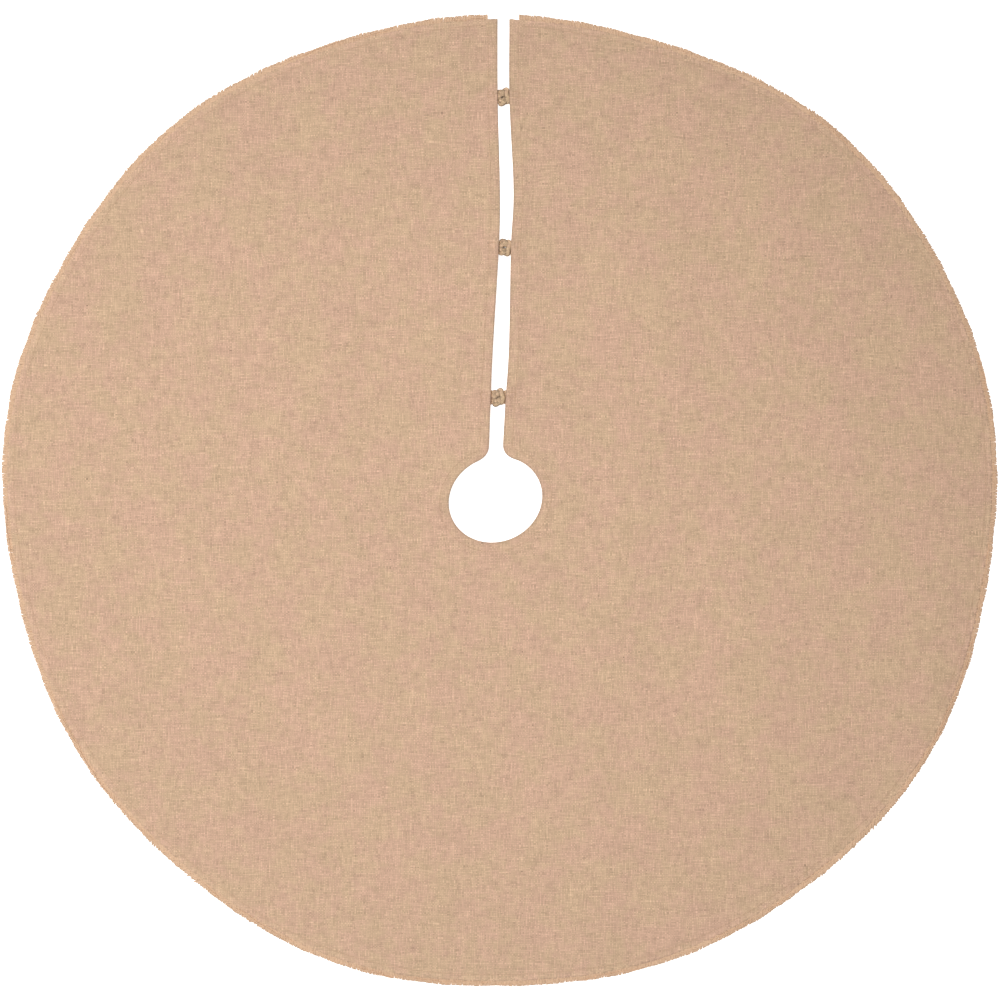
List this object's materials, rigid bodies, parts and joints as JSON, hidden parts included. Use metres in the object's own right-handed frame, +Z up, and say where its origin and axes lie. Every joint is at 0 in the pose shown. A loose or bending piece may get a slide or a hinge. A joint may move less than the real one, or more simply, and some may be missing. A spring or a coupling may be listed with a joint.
{
  "type": "round tree skirt",
  "caption": "Flat round tree skirt of natural burlap with a trunk hole, a hemmed slit held shut by knotted cloth ties, and a short frayed rim.",
  "frame": {"origin": "middle of the skirt's outline, on the floor it lies on", "axes": "+Z up, the slit runs from the trunk hole to the rim along +Y, +X to the right of the slit"},
  "size_m": [1.2288, 1.2007, 0.007],
  "materials": {
    "burlap": "natural jute burlap, plain weave, matt",
    "hem_burlap": "the same burlap turned under, matt",
    "fringe_yarn": "loose frayed jute yarn ends",
    "tie_burlap": "twisted burlap strip, matt",
    "sewing_thread": "natural spun sewing thread"
  },
  "bodies": {
    "back_half": {"panel_back": "burlap", "hole_hem_back": "hem_burlap", "rim_fringe_back": "fringe_yarn", "rim_stitch_back": "sewing_thread", "hole_stitch_back": "sewing_thread"},
    "front_half": {"panel_front_left": "burlap", "panel_front_right": "burlap", "slit_hem_left": "hem_burlap", "slit_hem_right": "hem_burlap", "hole_hem_front_left": "hem_burlap", "hole_hem_front_right": "hem_burlap", "rim_fringe_front_left": "fringe_yarn", "rim_fringe_front_right": "fringe_yarn", "rim_stitch_front_left": "sewing_thread", "rim_stitch_front_right": "sewing_thread", "slit_stitch_left": "sewing_thread", "slit_stitch_right": "sewing_thread", "hole_stitch_front_left": "sewing_thread", "hole_stitch_front_right": "sewing_thread", "tie_upper_left": "tie_burlap", "tie_upper_right": "tie_burlap", "tie_middle_left": "tie_burlap", "tie_middle_right": "tie_burlap", "tie_lower_left": "tie_burlap", "tie_lower_right": "tie_burlap", "tie_tack_upper_left": "sewing_thread", "tie_tack_upper_right": "sewing_thread", "tie_tack_middle_left": "sewing_thread", "tie_tack_middle_right": "sewing_thread", "tie_tack_lower_left": "sewing_thread", "tie_tack_lower_right": "sewing_thread"}
  },
  "joints": [
    {"name": "fold_in_half", "type": "hinge", "parent": "back_half", "child": "front_half", "pos_m": [0, 0, 0.006], "axis": [1, 0, 0], "range_deg": [0, 180]}
  ]
}
